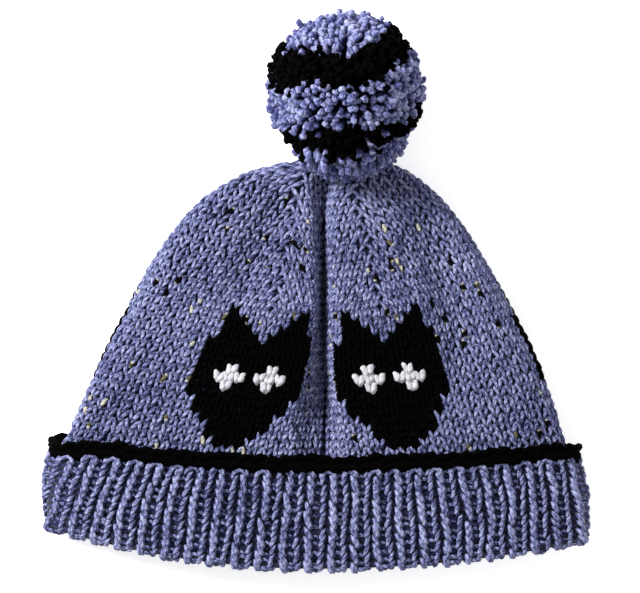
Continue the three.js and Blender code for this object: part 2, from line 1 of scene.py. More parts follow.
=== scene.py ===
# A knitted bobble hat lying flat on its back: a stocking-stitch crown with five cats' heads worked into
# it, a turned-up ribbed cuff with a black cast-on edge, and a striped yarn pompom. Every stitch is yarn.
import math
import bpy
import numpy as np
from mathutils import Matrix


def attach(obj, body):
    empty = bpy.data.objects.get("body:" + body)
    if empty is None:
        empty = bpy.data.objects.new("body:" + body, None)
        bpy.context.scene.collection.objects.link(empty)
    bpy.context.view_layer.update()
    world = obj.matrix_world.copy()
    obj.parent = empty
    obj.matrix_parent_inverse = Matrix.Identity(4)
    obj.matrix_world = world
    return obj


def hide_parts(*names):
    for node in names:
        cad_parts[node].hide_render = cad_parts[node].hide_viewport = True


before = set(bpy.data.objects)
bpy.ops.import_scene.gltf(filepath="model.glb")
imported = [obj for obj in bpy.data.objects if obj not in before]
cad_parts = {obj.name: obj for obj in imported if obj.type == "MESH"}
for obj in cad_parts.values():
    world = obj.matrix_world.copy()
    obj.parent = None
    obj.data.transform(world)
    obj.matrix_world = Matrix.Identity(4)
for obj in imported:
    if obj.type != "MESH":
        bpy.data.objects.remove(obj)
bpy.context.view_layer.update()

# The crown's knitting: stocking stitch in thick tweed wool, worked in the round from the ribbing upwards.
# Every stitch is two legs of yarn that meet in a V pointing at the cuff. The crown narrows by pairs of
# stitches knitted together above the middle of each cat's head, and a pleat folds down its front.
MM = 0.001
HAT_LENGTH, FLAT_WIDTH, LOFT = 190.0, 230.0, 31.0
CUFF_HEIGHT, CROWN_TUCKED = 46.0, 14.0
LAYER_GAP, EDGE_THICKNESS, EDGE_HEIGHT = 0.8, 5.0, 7.0
PLEAT_DEPTH, PLEAT_ROUND = 16.0, 4.8
DIP_DEPTH, DIP_REACH, DIP_FALL = 7.5, 15.0, 2.2
MOUTH = np.array([-0.776, -127.46, 0.0])   # where the mouth's middle lies in the shared frame, mm
CUFF_TOP = CUFF_HEIGHT / HAT_LENGTH
CROWN_START = (CUFF_HEIGHT - CROWN_TUCKED) / HAT_LENGTH
# at, left, right, bow left, bow right: reaches as shares of the flat width, bows of the hat's length
OUTLINE = np.array([
    (0.0, .524, .532, .1, .066), (.124, .528, .53, .072, .05), (.242, .514, .512, .052, .032),
    (.285, .494, .5, .05, .034), (.367, .466, .476, .052, .045), (.464, .426, .442, .061, .061),
    (.561, .38, .396, .073, .073), (.658, .336, .35, .078, .078), (.743, .287, .306, .08, .08),
    (.816, .238, .263, .076, .076), (.876, .182, .221, .063, .063), (.925, .132, .186, .044, .044),
    (.961, .084, .154, .024, .024), (.985, .03, .108, .01, .01), (1.0, -.044, .048, 0.0, 0.0)])
# at, rise of the front, tuck of the back, lift of the back off the floor by the cuff under it
HEIGHTS = np.array([
    (0.0, .8, 0, .8), (.15, .9, 0, .9), (.242, .96, 0, 1.0), (.3, 1.0, 0, .85), (.46, 1.06, 0, 0),
    (.6, 1.08, 0, 0), (.8, 1.0, 0, 0), (.9, .9, 0, 0), (.95, .88, .12, 0), (.985, .9, .4, 0),
    (1.0, .94, .66, 0)])
# at, place, depth, left and right steepness in degrees, stitches tucked away, ease of the front
PLEAT = np.array([
    (.17, .024, 0, 16, 32, 0, 0), (.242, .024, .28, 21, 38, 0, 0), (.285, .024, .5, 28, 46, .1, .004),
    (.415, .022, 1.0, 49, 72, .8, .016), (.53, .018, 1.05, 66, 79, 1.5, .028),
    (.68, .017, 1.0, 78, 80, 1.8, .028), (.8, .017, .88, 70, 79, 1.4, .012), (.9, .02, .74, 56, 74, .7, 0),
    (.961, .03, .42, 44, 58, .2, 0), (1.0, .04, 0, 40, 40, 0, 0)])
# at, place, depth of the soft dips on each side of the pleat
LEFT_DIP = np.array([(.6, -.17, 0), (.72, -.13, .8), (.86, -.07, .9), (.96, -.02, 0)])
RIGHT_DIP = np.array([(.4, .31, 0), (.58, .28, .9), (.76, .235, 1.0), (.9, .18, .6), (.97, .15, 0)])


def read(rows, column, at):
    """A table's column at any place: a cubic from row to row, whose slope at an inner row is the
    harmonic mean of the slopes on its two sides, or level where they differ in sign."""
    x, y = rows[:, 0], rows[:, column]
    chord = np.diff(y) / np.diff(x)
    before, after = chord[:-1], chord[1:]
    same = before * after > 0
    inner = np.where(same, 2 * before * after / np.where(same, before + after, 1), 0)
    slope = np.concatenate([chord[:1], inner, chord[-1:]])
    at = np.clip(at, x[0], x[-1])
    i = np.clip(np.searchsorted(x, at, side="right") - 1, 0, len(x) - 2)
    span = x[i + 1] - x[i]
    u = (at - x[i]) / span
    rise = (u**3 - 2 * u**2 + u) * slope[i] + (u**3 - u**2) * slope[i + 1]
    return (2 * u**3 - 3 * u**2 + 1) * y[i] + (3 * u**2 - 2 * u**3) * y[i + 1] + rise * span


def pleat_drop(distance, depth, steep):
    """How far the pleat lowers the front at a distance from its valley: a straight side at the given
    steepness, then a round of PLEAT_ROUND that meets the level front."""
    angle = np.minimum(np.radians(steep), np.arccos(np.maximum(1 - depth / PLEAT_ROUND, 0)))
    angle = np.maximum(angle, 1e-4)
    turned = PLEAT_ROUND * np.sin(angle)
    side = (depth - PLEAT_ROUND * (1 - np.cos(angle))) / np.tan(angle)
    left = np.clip(side + turned - distance, 0, PLEAT_ROUND)
    rounded = PLEAT_ROUND - np.sqrt(PLEAT_ROUND**2 - left**2)
    return np.where(distance <= side, depth - distance * np.tan(angle), rounded)


def hat_rounds(at, pleated=True):
    """One line round the hat for each place along it, valley to right fold to back to left fold to
    valley: the front is a flattened arch lowered by the pleat and two dips, the back is level, and a
    quarter round joins them at each side. The sides run ahead of the middle by bow times aside squared."""
    at = at[:, None]
    left, right = -read(OUTLINE, 1, at) * FLAT_WIDTH, read(OUTLINE, 2, at) * FLAT_WIDTH
    middle, half = (left + right) / 2, (right - left) / 2
    under = read(HEIGHTS, 2, at) * LOFT + read(HEIGHTS, 3, at) * (LAYER_GAP + EDGE_THICKNESS)
    over = read(HEIGHTS, 1, at) * LOFT
    fold = np.minimum(np.minimum(0.3 * LOFT, (over - under) / 2), half)
    valley = read(PLEAT, 1, at) * FLAT_WIDTH
    depth = read(PLEAT, 2, at) * PLEAT_DEPTH * pleated
    t = np.linspace(0, 1, 121)[None, :]
    crowded = np.sin(np.pi / 2 * t) ** 1.5

    def front(end, steep):
        x = valley + (end - valley) * crowded
        aside = np.minimum(np.abs(x - middle) / half, 1)
        arch = (1 - aside**2.5) ** 0.4
        dips = sum(read(d, 2, at) * np.exp(-DIP_FALL * ((x - read(d, 1, at) * FLAT_WIDTH) / DIP_REACH) ** 2)
                   for d in (LEFT_DIP, RIGHT_DIP)) * DIP_DEPTH * pleated
        z = under + fold + (over - under - fold) * arch - pleat_drop(np.abs(x - valley), depth, steep)
        return x, z - dips * arch

    def back(sign, k):
        turn = np.pi / 2 * k / 16
        return middle + sign * (half - fold + fold * np.cos(turn)), under + fold * (1 - np.sin(turn))

    steps = np.arange(1, 17)[None, :]
    runs = [front(right, read(PLEAT, 4, at)), back(1, steps), back(-1, steps[:, ::-1])]
    x_left, z_left = front(left, read(PLEAT, 3, at))
    runs.append((x_left[:, ::-1], z_left[:, ::-1]))
    x = np.concatenate([run[0] for run in runs], 1)
    z = np.concatenate([run[1] + 0 * at for run in runs], 1)
    aside = (x - middle) / half
    bow = np.where(aside < 0, read(OUTLINE, 3, at), read(OUTLINE, 4, at)) * HAT_LENGTH
    return np.stack([x, at * HAT_LENGTH + bow * aside**2, z], -1)


def even_rounds(lines, count):
    """Each closed line taken again at equal steps of its length."""
    step = np.linalg.norm(np.diff(lines, axis=1), axis=2)
    run = np.concatenate([np.zeros((len(lines), 1)), np.cumsum(step, 1)], 1)
    run /= run[:, -1:]
    share = np.linspace(0, 1, count + 1)
    out = [np.stack([np.interp(share, run[k], lines[k, :, q]) for q in range(3)], -1)
           for k in range(len(lines))]
    return np.array(out)


def outwards(grid, flip=1):
    """The unit normal of a grid of points that closes round: the step around it crossed with the
    step along it."""
    ring = grid[:, :-1]
    around = np.roll(ring, -1, 1) - np.roll(ring, 1, 1)
    along = np.gradient(ring, axis=0)
    out = np.cross(around, along) * flip
    out /= np.maximum(np.linalg.norm(out, axis=2, keepdims=True), 1e-9)
    return np.concatenate([out, out[:, :1]], 1)


def on_grid(grid, normals, share, row, off):
    """A point at a share of the round and a row of the grid, between its four neighbours, and
    moved outwards by off."""
    rows, count = grid.shape[0] - 1, grid.shape[1] - 1
    j = (share % 1) * count
    i = np.clip(row, 0, 1) * rows
    i0, j0 = np.minimum(i.astype(int), rows - 1), np.minimum(j.astype(int), count - 1)
    u, v = (i - i0)[..., None], (j - j0)[..., None]

    def between(table):
        low = table[i0, j0] * (1 - v) + table[i0, j0 + 1] * v
        high = table[i0 + 1, j0] * (1 - v) + table[i0 + 1, j0 + 1] * v
        return low * (1 - u) + high * u

    n = between(normals)
    n /= np.maximum(np.linalg.norm(n, axis=-1, keepdims=True), 1e-9)
    return between(grid) + n * off[..., None]


AROUND = 1440
crown_ats = np.linspace(CROWN_START, 1.0, 380)
crown_grid = even_rounds(hat_rounds(crown_ats), AROUND)
crown_out = outwards(crown_grid)


def on_crown(share, at, off):
    """A point off the crown's face."""
    return on_grid(crown_grid, crown_out, share, (at - CROWN_START) / (1 - CROWN_START), off)


# The knitting's own counts: five heads of 11 stitches stand 20 stitches apart.
STITCHES_ROUND, ROUNDS_TALL, CAT_COUNT, SECTOR = 100, 39, 5, 20
# round, stitches left of each 20: where pairs are knitted together
NARROWING = np.array([(0, 20), (19.6, 20), (21.5, 18), (24, 16), (26.5, 14), (29, 12), (31.3, 10), (33.5, 8),
                      (35.5, 6), (37.3, 4), (39, 2)])
# at, further stitches that the pleat takes in on its left and its right, or fewer where below zero
TAKEN_IN = np.array([(.24, -.2, 2.3), (.31, -.25, 2.1), (.36, -.3, 1.4), (.47, -.48, .05), (.63, -.6, -1.27),
                     (.8, -.4, -.9), (1, 0, 0)])
rng = np.random.default_rng(11)


def share_of(stitch, at):
    """Where a stitch stands on its round, as a share of it from the pleat's valley: the front's
    stitches lie a little wider than the back's, those in the valley are tucked away, and those at
    the side folds are drawn a little further round."""
    half = STITCHES_ROUND / 2
    stitch = stitch % STITCHES_ROUND
    right = stitch <= half
    tucked = read(PLEAT, 5, at) + np.where(right, read(TAKEN_IN, 2, at), read(TAKEN_IN, 1, at))
    t = np.maximum(half - np.abs(half - stitch) - tucked, 0) / (half - tucked)
    share = (t + read(PLEAT, 6, at) * t * (1 - t)) / 2
    share += np.where(right, 0.007, 0.017) * np.exp(-((share - 0.25) / 0.06) ** 2)
    return np.where(right, share, 1 - share)


def on_knitting(sector, column, rounds, off):
    """A point at a column counted from a sector's edge and a round: the columns close up towards
    the sector's edge as the round keeps fewer stitches."""
    left = np.interp(rounds, NARROWING[:, 0], NARROWING[:, 1]) / 2
    stitch = sector * SECTOR + column * (SECTOR / 2) / left
    at = CUFF_TOP + (1 - CUFF_TOP) * np.minimum(rounds, ROUNDS_TALL) / ROUNDS_TALL
    return on_crown(share_of(stitch, at), at, off)


def crown_stitches():
    """Sector, column and round of every stitch: whole columns from the sector's edge, and one in
    its middle where two have room for it."""
    found = []
    for r in range(ROUNDS_TALL):
        half = float(np.interp(r + 0.5, NARROWING[:, 0], NARROWING[:, 1])) / 2
        last = math.floor(half - 0.3)
        columns = list(range(-last, last + 1))
        if half - last > 0.6:
            columns.append(half)
        for sector in range(CAT_COUNT):
            found += [(sector, c, r) for c in columns]
    return np.array(found, float)


# One head's chart, worked in black and white: chin at the bottom, a dot for the ground's blue.
CAT_CHART = """
.#.......#.
.##.....##.
.###...###.
.####.#####
###########
###########
###########
###o###o###
##ooo#ooo##
###o###o###
###########
.#########.
.#########.
..#######..
...######..
...#####...
....###....
""".split()
CAT_FIRST_ROUND = 3


def chart_yarn(stitches):
    """0 for blue, 1 for black and 2 for white: a stitch's place in the head that its sector and its
    neighbour share, which stands with its middle column on their common line."""
    cells = np.array([[".#o".index(c) for c in line] for line in CAT_CHART[::-1]])
    tall, wide = cells.shape
    column = np.where(stitches[:, 1] > 0, stitches[:, 1] - SECTOR / 2, stitches[:, 1] + SECTOR / 2)
    x = np.round(column).astype(int) + wide // 2
    y = stitches[:, 2].astype(int) - CAT_FIRST_ROUND
    inside = (x >= 0) & (x < wide) & (y >= 0) & (y < tall)
    return np.where(inside, cells[np.clip(y, 0, tall - 1), np.clip(x, 0, wide - 1)], 0)


def pole_fans(rings, sides, flip=False):
    """Triangles from the first and the last of a pile of closed rings to the two poles beyond them."""
    s = np.arange(sides)
    n = (s + 1) % sides
    first, top = rings * sides, (rings - 1) * sides
    fans = np.concatenate([np.stack([s * 0 + first, n, s], 1),
                           np.stack([s * 0 + first + 1, top + s, top + n], 1)])
    return fans[:, [0, 2, 1]] if flip else fans


def tube_faces(rings, sides):
    """Faces of a closed tube of rings of sides, with a pole at each end: quads between the rings and
    a fan at each pole, and each corner's place along and around as its UV."""
    k, s = np.meshgrid(np.arange(rings - 1), np.arange(sides), indexing="ij")
    k, s = k.ravel(), s.ravel()
    n = (s + 1) % sides
    quads = np.stack([k * sides + s, k * sides + n, (k + 1) * sides + n, (k + 1) * sides + s], 1)
    quad_uv = np.stack([k, s, k, s + 1, k + 1, s + 1, k + 1, s], 1).reshape(-1, 4, 2).astype(float)
    s = np.arange(sides)
    fan_uv = np.concatenate([
        np.stack([s * 0 - .5, s + .5, s * 0, s + 1, s * 0, s], 1),
        np.stack([s * 0 + rings - .5, s + .5, s * 0 + rings - 1, s, s * 0 + rings - 1, s + 1], 1),
    ]).reshape(-1, 3, 2)
    scale = np.array([1 / (rings - 1), 1 / sides])
    return quads, pole_fans(rings, sides), quad_uv * scale, fan_uv * scale


def tube_points(path, radius, up, sides, flat=1.0):
    """Rings of a tube about each path of points: every ring is a circle, pressed by flat along the
    up direction, square to the path, and a pole stands a third of a radius beyond each end."""
    along = np.gradient(path, axis=1)
    along /= np.maximum(np.linalg.norm(along, axis=2, keepdims=True), 1e-9)
    side = np.cross(along, up)
    side /= np.maximum(np.linalg.norm(side, axis=2, keepdims=True), 1e-9)
    over = np.cross(side, along)
    turn = 2 * np.pi * np.arange(sides) / sides
    circle = side[:, :, None] * np.cos(turn)[:, None] + over[:, :, None] * np.sin(turn)[:, None] * flat
    rings = path[:, :, None] + circle * radius[..., None, None]
    start = path[:, :1] - along[:, :1] * radius[:, :1, None] * 0.35
    end = path[:, -1:] + along[:, -1:] * radius[:, -1:, None] * 0.35
    return np.concatenate([rings.reshape(len(path), -1, 3), start, end], 1)


def make_piece(name, points, quads, fans=None, quad_uv=None, fan_uv=None, values=None):
    """A mesh object from arrays, in millimetres from the mouth: points (copies, n, 3), pressed flat
    where they would meet the surface below, and the faces of one copy, repeated for all. values are
    per-point numbers such as shade and fleck."""
    copies, per = points.shape[:2]
    shift = (np.arange(copies) * per)[:, None, None]
    fans = np.zeros((0, 3), int) if fans is None else fans
    all_quads = (quads[None] + shift).reshape(-1, 4)
    all_fans = (fans[None] + shift).reshape(-1, 3)
    mesh = bpy.data.meshes.new(name)
    mesh.vertices.add(copies * per)
    place = points.reshape(-1, 3) + MOUTH
    place[:, 2] = np.maximum(place[:, 2], 0.1)
    mesh.vertices.foreach_set("co", (place * MM).ravel())
    corners = np.concatenate([all_quads.ravel(), all_fans.ravel()])
    sizes = np.concatenate([np.full(len(all_quads), 4), np.full(len(all_fans), 3)])
    mesh.loops.add(len(corners))
    mesh.loops.foreach_set("vertex_index", corners)
    mesh.polygons.add(len(sizes))
    mesh.polygons.foreach_set("loop_start", np.concatenate([[0], np.cumsum(sizes)[:-1]]))
    mesh.polygons.foreach_set("use_smooth", np.full(len(sizes), True))
    if quad_uv is not None:
        layer = mesh.uv_layers.new(name="yarn")
        uv = [np.tile(quad_uv.reshape(1, -1, 2), (copies, 1, 1)).reshape(-1, 2)]
        if len(fans):
            uv.append(np.tile(fan_uv.reshape(1, -1, 2), (copies, 1, 1)).reshape(-1, 2))
        layer.data.foreach_set("uv", np.concatenate(uv).ravel())
    for key, numbers in (values or {}).items():
        attribute = mesh.attributes.new(key, "FLOAT", "POINT")
        attribute.data.foreach_set("value", np.broadcast_to(numbers, (copies, per)).ravel())
    mesh.validate()
    mesh.update()
    piece = bpy.data.objects.new(name, mesh)
    bpy.context.scene.collection.objects.link(piece)
    return piece


def hex_colour(code):
    """An sRGB hex value as linear red, green and blue."""
    parts = [int(code[k:k + 2], 16) / 255 for k in (1, 3, 5)]
    return tuple(c / 12.92 if c <= 0.04045 else ((c + 0.055) / 1.055) ** 2.4 for c in parts) + (1.0,)


def add_node(tree, kind, settings=None, links=None):
    """Adds a node with its settings, numbers on its inputs by name or index, and links into it."""
    node = tree.nodes.new(kind)
    for key, value in (settings or {}).items():
        if isinstance(key, int) or key in node.inputs:
            node.inputs[key].default_value = value
        else:
            setattr(node, key, value)
    for key, source in (links or {}).items():
        tree.links.new(source, node.inputs[key])
    return node


def colour_stops(ramp, stops, interpolation="LINEAR"):
    """Sets a colour ramp's stops: place and sRGB hex each."""
    ramp.color_ramp.interpolation = interpolation
    elements = ramp.color_ramp.elements
    while len(elements) < len(stops):
        elements.new(0.5)
    for element, (place, code) in zip(elements, stops):
        element.position, element.color = place, hex_colour(code)


def wool_material(name, tones, flecked, strand_mm, bump, sheen):
    """Spun wool, matt and slightly hairy. Its colour runs through tones by the leg's own shade, streaks
    3 mm long and 0.8 mm wide along the strand, fibres 0.7 mm long, blotches 2.4 mm and soft patches 28 mm
    wide. Two plies turn round the strand once every 4.5 mm, with painted shade in the grooves between
    them, and a fuzz 0.5 mm wide covers it."""
    material = bpy.data.materials.new(name)
    material.use_nodes = True
    tree = material.node_tree
    tree.nodes.clear()
    uv = add_node(tree, "ShaderNodeUVMap", {"uv_map": "yarn"})
    place = add_node(tree, "ShaderNodeTexCoord")
    shade = add_node(tree, "ShaderNodeAttribute", {"attribute_name": "shade"})
    fibres = add_node(tree, "ShaderNodeTexNoise", {"Scale": 1400.0, "Detail": 2.0, "Roughness": 0.7},
                      {"Vector": place.outputs["Object"]})
    blotches = add_node(tree, "ShaderNodeTexNoise", {"Scale": 420.0, "Detail": 1.0},
                        {"Vector": place.outputs["Object"]})
    patches = add_node(tree, "ShaderNodeTexNoise", {"Scale": 36.0, "Detail": 1.0},
                       {"Vector": place.outputs["Object"]})
    length = add_node(tree, "ShaderNodeCombineXYZ", {0: strand_mm / 3.0, 1: 7.0, 2: 0.0})
    stretched = add_node(tree, "ShaderNodeVectorMath", {"operation": "MULTIPLY"},
                         {0: uv.outputs["UV"], 1: length.outputs[0]})
    each = add_node(tree, "ShaderNodeMath", {"operation": "MULTIPLY", 1: 977.0}, {0: shade.outputs["Fac"]})
    own = add_node(tree, "ShaderNodeCombineXYZ", {0: 0.0, 1: 0.0}, {2: each.outputs[0]})
    moved = add_node(tree, "ShaderNodeVectorMath", {"operation": "ADD"},
                     {0: stretched.outputs[0], 1: own.outputs[0]})
    streaks = add_node(tree, "ShaderNodeTexNoise", {"Scale": 1.0, "Detail": 2.0, "Roughness": 0.6},
                       {"Vector": moved.outputs[0]})
    split = add_node(tree, "ShaderNodeSeparateXYZ", links={"Vector": uv.outputs["UV"]})
    turns = add_node(tree, "ShaderNodeMath", {"operation": "MULTIPLY", 1: strand_mm / 4.5},
                     {0: split.outputs["X"]})
    twist = add_node(tree, "ShaderNodeMath", {"operation": "ADD"},
                     {0: turns.outputs[0], 1: split.outputs["Y"]})
    phase = add_node(tree, "ShaderNodeMath", {"operation": "MULTIPLY", 1: 4 * math.pi}, {0: twist.outputs[0]})
    plies = add_node(tree, "ShaderNodeMath", {"operation": "COSINE"}, {0: phase.outputs[0]})
    total = shade.outputs["Fac"]
    for layer, weight in ((streaks, 1.4), (fibres, 1.4), (blotches, 0.6), (patches, 0.4)):
        centred = add_node(tree, "ShaderNodeMath", {"operation": "SUBTRACT", 1: 0.5},
                           {0: layer.outputs["Fac"]})
        total = add_node(tree, "ShaderNodeMath", {"operation": "MULTIPLY_ADD", 1: weight},
                         {0: centred.outputs[0], 2: total}).outputs[0]
    # painted shade: the plies' twist darkens the colour in the grooves between the plies and lightens it on
    # their crests
    total = add_node(tree, "ShaderNodeMath", {"operation": "MULTIPLY_ADD", 1: 0.13},
                     {0: plies.outputs[0], 2: total}).outputs[0]
    ramp = add_node(tree, "ShaderNodeValToRGB", links={"Fac": total})
    colour_stops(ramp, tones)
    colour = ramp.outputs["Color"]
    if flecked:
        fleck = add_node(tree, "ShaderNodeAttribute", {"attribute_name": "fleck"})
        neps = add_node(tree, "ShaderNodeValToRGB", links={"Fac": fleck.outputs["Fac"]})
        colour_stops(neps, [(0.0, tones[0][1]), (0.2, "#a3a195"), (0.45, "#55513d"), (0.7, "#030304")],
                     "CONSTANT")
        speckled = add_node(tree, "ShaderNodeMath", {"operation": "GREATER_THAN", 1: 0.15},
                            {0: fleck.outputs["Fac"]})
        both = add_node(tree, "ShaderNodeMix", {"data_type": "RGBA"},
                        {"Factor": speckled.outputs[0]})
        tree.links.new(colour, both.inputs[6])
        tree.links.new(neps.outputs["Color"], both.inputs[7])
        colour = both.outputs[2]
    fuzz = add_node(tree, "ShaderNodeTexNoise", {"Scale": 2000.0, "Detail": 3.0, "Roughness": 0.7},
                    {"Vector": place.outputs["Object"]})
    height = add_node(tree, "ShaderNodeMath", {"operation": "MULTIPLY_ADD", 1: 0.35},
                      {0: plies.outputs[0], 2: fuzz.outputs["Fac"]})
    bumped = add_node(tree, "ShaderNodeBump", {"Strength": bump, "Distance": 0.0008},
                      {"Height": height.outputs[0]})
    skin = add_node(tree, "ShaderNodeBsdfPrincipled",
                    {"Roughness": 0.95, "IOR": 1.5, "Specular IOR Level": 0.02, "Sheen Weight": sheen,
                     "Sheen Roughness": 0.45},
                    {"Base Color": colour, "Normal": bumped.outputs["Normal"]})
    add_node(tree, "ShaderNodeOutputMaterial", links={"Surface": skin.outputs[0]})
    return material


BLUE_TONES = [(0.0, "#14152c"), (0.25, "#393c60"), (0.5, "#60648b"), (0.7, "#7b7fa3"), (1.0, "#999dbc")]
BLACK_TONES = [(0.2, "#010101"), (1.0, "#030303")]
WHITE_TONES = [(0.0, "#85848b"), (0.4, "#a7a6ac"), (1.0, "#b5b4b9")]
LEG_LENGTH = 6.0
blue_tweed = wool_material("blue_tweed_wool", BLUE_TONES, True, LEG_LENGTH, 0.8, 0.02)
black_wool = wool_material("black_wool", BLACK_TONES, False, LEG_LENGTH, 0.4, 0.0)
white_wool = wool_material("white_wool", WHITE_TONES, False, LEG_LENGTH, 0.5, 0.0)

# One leg of a stitch in stitch widths, rounds and millimetres outwards, from under the V's point to its
# end under the next round: it leaves the middle low, rises over the face and dives behind.
LEG_RINGS, LEG_SIDES = 6, 6
LEG_AT = np.linspace(0, 1, LEG_RINGS)
LEG_ACROSS = np.array([0.035, 0.10, 0.19, 0.28, 0.36, 0.40])
LEG_UP = np.array([-0.42, -0.20, 0.08, 0.38, 0.66, 0.92])
LEG_OUT = np.array([-2.2, -1.25, -0.75, -0.7, -1.1, -2.0])
LEG_RADIUS = np.array([0.58, 0.82, 0.94, 0.96, 0.88, 0.62])
LEG_FACES = tube_faces(LEG_RINGS, LEG_SIDES)


def knit_legs(sector, column, rounds, out=0.0, thick=1.0):
    """Both legs of each stitch as tubes on the crown: the leg's line is laid on the knitting, with
    small uneven shifts, and its rings stand square to it there."""
    count = len(sector)
    mirror = np.repeat([1.0, -1.0], count)[:, None]
    sector, column, rounds = (np.tile(a, 2)[:, None] for a in (sector, column, rounds))
    wobble = rng.normal(0, 1, (2 * count, 4))
    across = column + mirror * LEG_ACROSS + 0.04 * wobble[:, :1] + 0.06 * wobble[:, 1:2] * (LEG_AT - .5)
    up = rounds + LEG_UP + 0.08 * wobble[:, 2:3]
    off = LEG_OUT + out + 0.18 * wobble[:, 3:4]
    path = on_knitting(sector + 0 * across, across, up, off)
    lifted = on_knitting(sector + 0 * across, across, up, off + 1.0)
    radius = LEG_RADIUS * thick * (1 + 0.09 * rng.normal(0, 1, (2 * count, LEG_RINGS)))
    return tube_points(path, radius, lifted - path, LEG_SIDES)


def leg_values(count, points, fleck_chance, low=0.41, high=0.65):
    """A shade for each leg, and a fleck on a few: cream, tan or black, on part of the leg."""
    shade = rng.uniform(low, high, (count, 1))
    kind = rng.choice([0.3, 0.55, 0.85], (count, 1), p=[0.32, 0.18, 0.5])
    flecked = rng.random((count, 1)) < fleck_chance
    ring = np.minimum(np.arange(points) // LEG_SIDES, LEG_RINGS - 1)[None, :]
    start = rng.integers(0, 4, (count, 1))
    covered = (ring >= start) & (ring <= start + rng.integers(1, 4, (count, 1)))
    return {"shade": shade, "fleck": np.where(flecked & covered, kind, 0.0)}


stitches = crown_stitches()
yarn_of = chart_yarn(stitches)
stitch_at = CUFF_TOP + (1 - CUFF_TOP) * (stitches[:, 2] + .5) / ROUNDS_TALL
tucked_at = read(PLEAT, 5, stitch_at)
tucked_at += np.where(stitches[:, 1] >= 0, read(TAKEN_IN, 2, stitch_at), read(TAKEN_IN, 1, stitch_at))
narrowed = np.interp(stitches[:, 2] + .5, NARROWING[:, 0], NARROWING[:, 1]) / SECTOR
hidden = (stitches[:, 0] == 0) & (np.abs(stitches[:, 1]) / narrowed < tucked_at - 0.3)
stitches, yarn_of = stitches[~hidden], yarn_of[~hidden]
part = np.searchsorted([12, 23], stitches[:, 2], side="right")
pieces_of = {
    "crown_knitting_lower": (yarn_of == 0) & (part == 0),
    "crown_knitting_middle": (yarn_of == 0) & (part == 1),
    "crown_knitting_upper": (yarn_of == 0) & (part == 2),
    "cat_heads_knitting": yarn_of == 1,
    "cat_eyes_knitting": yarn_of == 2,
}
crown_pieces = {}
for name, chosen in pieces_of.items():
    blue = name.startswith("crown")
    picked = stitches[chosen]
    raised, thick = (0.0, 1.0) if blue else (0.12, 1.12) if "heads" in name else (-0.1, 1.85)
    points = knit_legs(*picked.T, raised, thick)
    crown_pieces[name] = make_piece(name, points, *LEG_FACES,
                                    leg_values(len(points), points.shape[1], 0.033 if blue else 0.0))
    material = blue_tweed if blue else black_wool if "heads" in name else white_wool
    crown_pieces[name].data.materials.append(material)
    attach(crown_pieces[name], "root")
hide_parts(*[f"cat_{n}" for n in range(1, 6)])
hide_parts(*[f"cat_{n}_eye_{s}" for n in range(1, 6) for s in "ab"])

# The crown's inside: the knitting's wrong side, where each stitch shows as a bump of yarn. It closes the
# gaps between the legs and lines the hat. It is one shell, gathered to a point under the pompom.
KNIT_WALL = 3.2
WRONG_SIDE_ROWS, SHELL_SIDES = 66, 180


def wrong_side():
    """Two layers from the crown's lower end to its tip, one 2.1 mm under the face and one a wall's
    thickness under it, joined at the lower end, each closed by a point at the tip. At the lower end the
    first rises to 0.7 mm under the face, and both reach 2.5 mm into the ribbing."""
    share = np.linspace(0, 1, SHELL_SIDES + 1)[:-1][None, :]
    at = CROWN_START + (0.999 - CROWN_START) * np.linspace(0, 1, WRONG_SIDE_ROWS)[:, None]
    risen = 1.4 * np.clip(1 - (at - CROWN_START) / 0.02, 0, 1)
    outer = on_crown(share + 0 * at, at + 0 * share, -2.1 + risen + 0 * share)
    inner = on_crown(share + 0 * at, at + 0 * share, -KNIT_WALL + 0 * at * share)
    for layer in (outer, inner):
        layer[0, :, 1] -= 2.5
    return np.concatenate([inner[::-1], outer])


def band_faces(rows, count, flip=False):
    """Quads between rings that close round, and their UVs."""
    k, s = np.meshgrid(np.arange(rows - 1), np.arange(count), indexing="ij")
    k, s = k.ravel(), s.ravel()
    n = (s + 1) % count
    quads = np.stack([k * count + s, k * count + n, (k + 1) * count + n, (k + 1) * count + s], 1)
    uv = np.stack([k, s, k, s + 1, k + 1, s + 1, k + 1, s], 1).reshape(-1, 4, 2) / np.array([rows - 1, count])
    return (quads[:, ::-1], uv[:, ::-1]) if flip else (quads, uv)


rings = wrong_side()
quads, quad_uv = band_faces(len(rings), SHELL_SIDES)
fans = pole_fans(len(rings), SHELL_SIDES)
poles = np.stack([rings[0].mean(0), rings[-1].mean(0)])
points = np.concatenate([rings.reshape(-1, 3), poles])[None]
crown_inside = make_piece("crown_wrong_side", points, quads, fans, quad_uv, np.zeros((len(fans), 3, 2)),
                          {"shade": 0.0, "fleck": 0.0})


